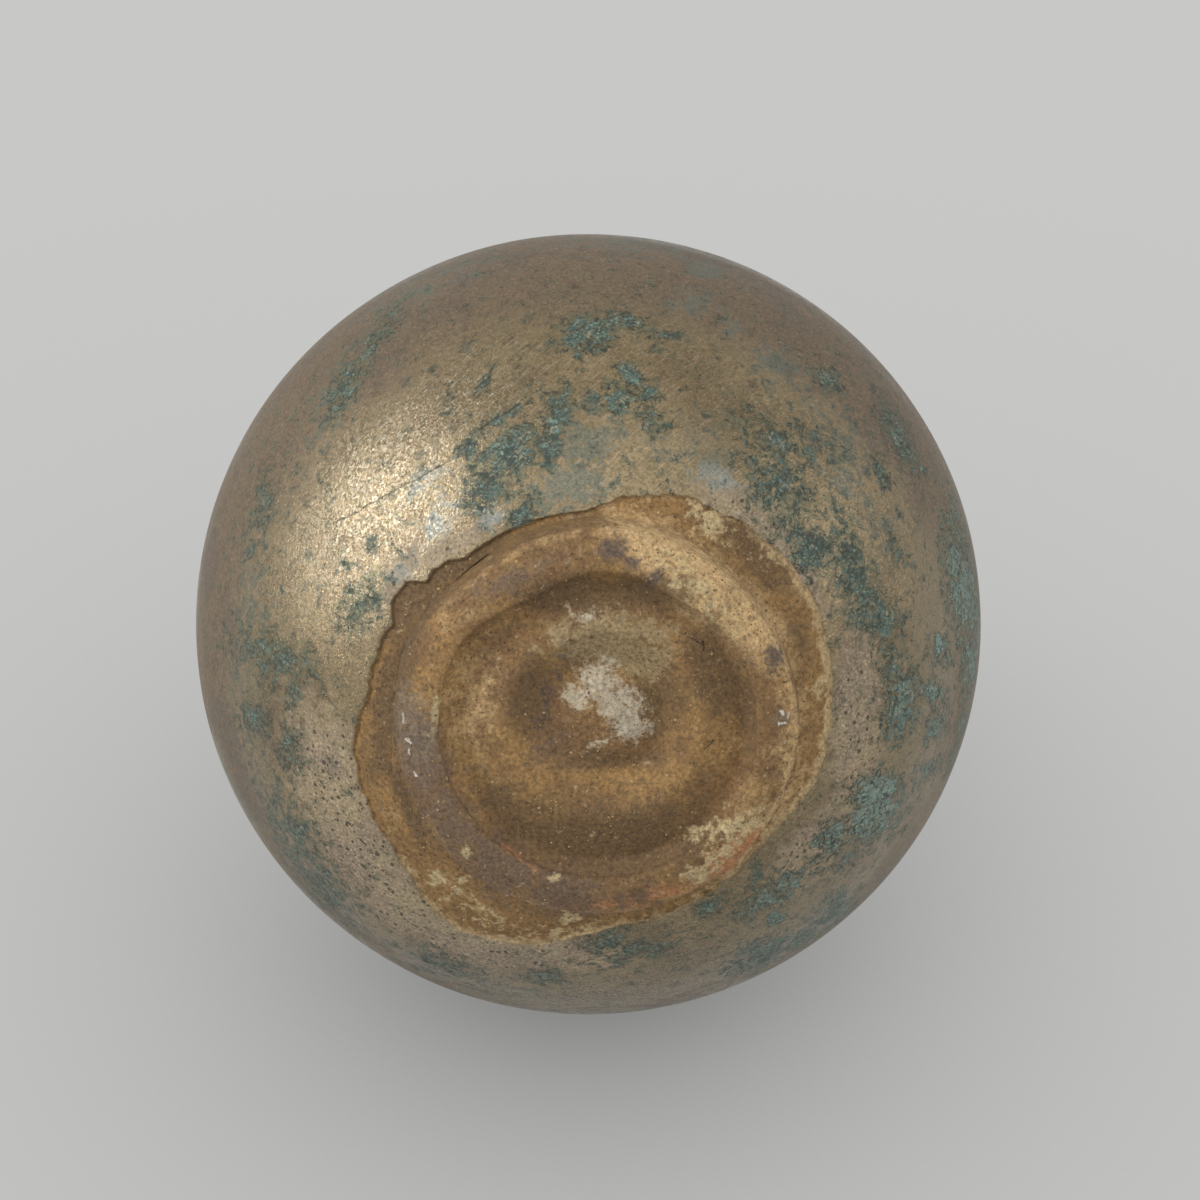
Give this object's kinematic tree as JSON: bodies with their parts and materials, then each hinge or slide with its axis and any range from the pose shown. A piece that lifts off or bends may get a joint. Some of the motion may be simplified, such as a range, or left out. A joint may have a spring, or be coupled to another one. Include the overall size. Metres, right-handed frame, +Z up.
{
  "type": "ewer",
  "caption": "Globular glazed earthenware ewer with a bare turned foot ring, a short neck, a flared mouth pinched to a pouring lip, and a strap handle from shoulder to neck.",
  "frame": {"origin": "centre of the foot ring's resting land, on the ewer's axis", "axes": "+Z up along the ewer's axis, +X towards the handle, -X towards the pouring lip"},
  "size_m": [0.13, 0.13, 0.1651],
  "materials": {
    "weathered_glaze": "turquoise glaze weathered to an iridescent bronze skin",
    "bare_clay": "unglazed buff-brown earthenware, sandy and worn"
  },
  "bodies": {
    "root": {"foot_ring": "bare_clay", "base_disc": "bare_clay", "base_lute": "bare_clay", "lower_bowl": "weathered_glaze", "belly_lute": "bare_clay", "shoulder": "weathered_glaze", "neck": "weathered_glaze", "neck_collar": "weathered_glaze", "mouth": "weathered_glaze", "handle": "weathered_glaze", "handle_lower_lute": "weathered_glaze", "handle_upper_lute": "weathered_glaze"}
  },
  "joints": []
}
